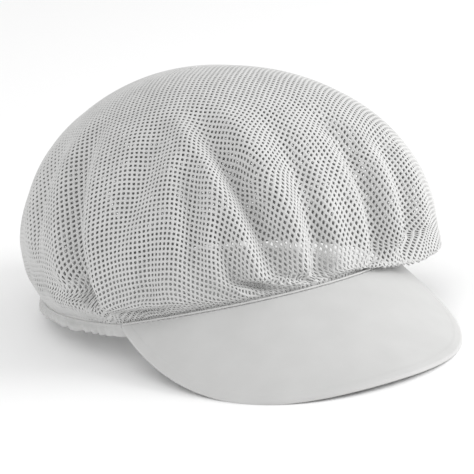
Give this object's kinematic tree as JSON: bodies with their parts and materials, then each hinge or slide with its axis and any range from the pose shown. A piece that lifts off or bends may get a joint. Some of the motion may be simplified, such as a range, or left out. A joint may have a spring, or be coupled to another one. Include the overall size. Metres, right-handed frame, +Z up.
{
  "type": "hygiene cap",
  "caption": "Peaked hygiene cap with a full net crown gathered into an elastic casing, a rolled front seam and a stiff cloth peak.",
  "frame": {"origin": "on the surface the cap stands on, under the middle of its overall box", "axes": "+Z up out of the crown, -Y towards the peak, +X towards the wearer's left"},
  "size_m": [0.1892, 0.266, 0.1156],
  "materials": {
    "net_cloth": "matt white polyester net with square openings",
    "casing_cloth": "matt white plain cloth ruched over elastic",
    "peak_cloth": "smooth matt white plain-weave cloth over a stiffener"
  },
  "bodies": {
    "root": {"crown_net": "net_cloth", "elastic_casing": "casing_cloth", "peak": "peak_cloth", "peak_welt": "peak_cloth"}
  },
  "joints": []
}
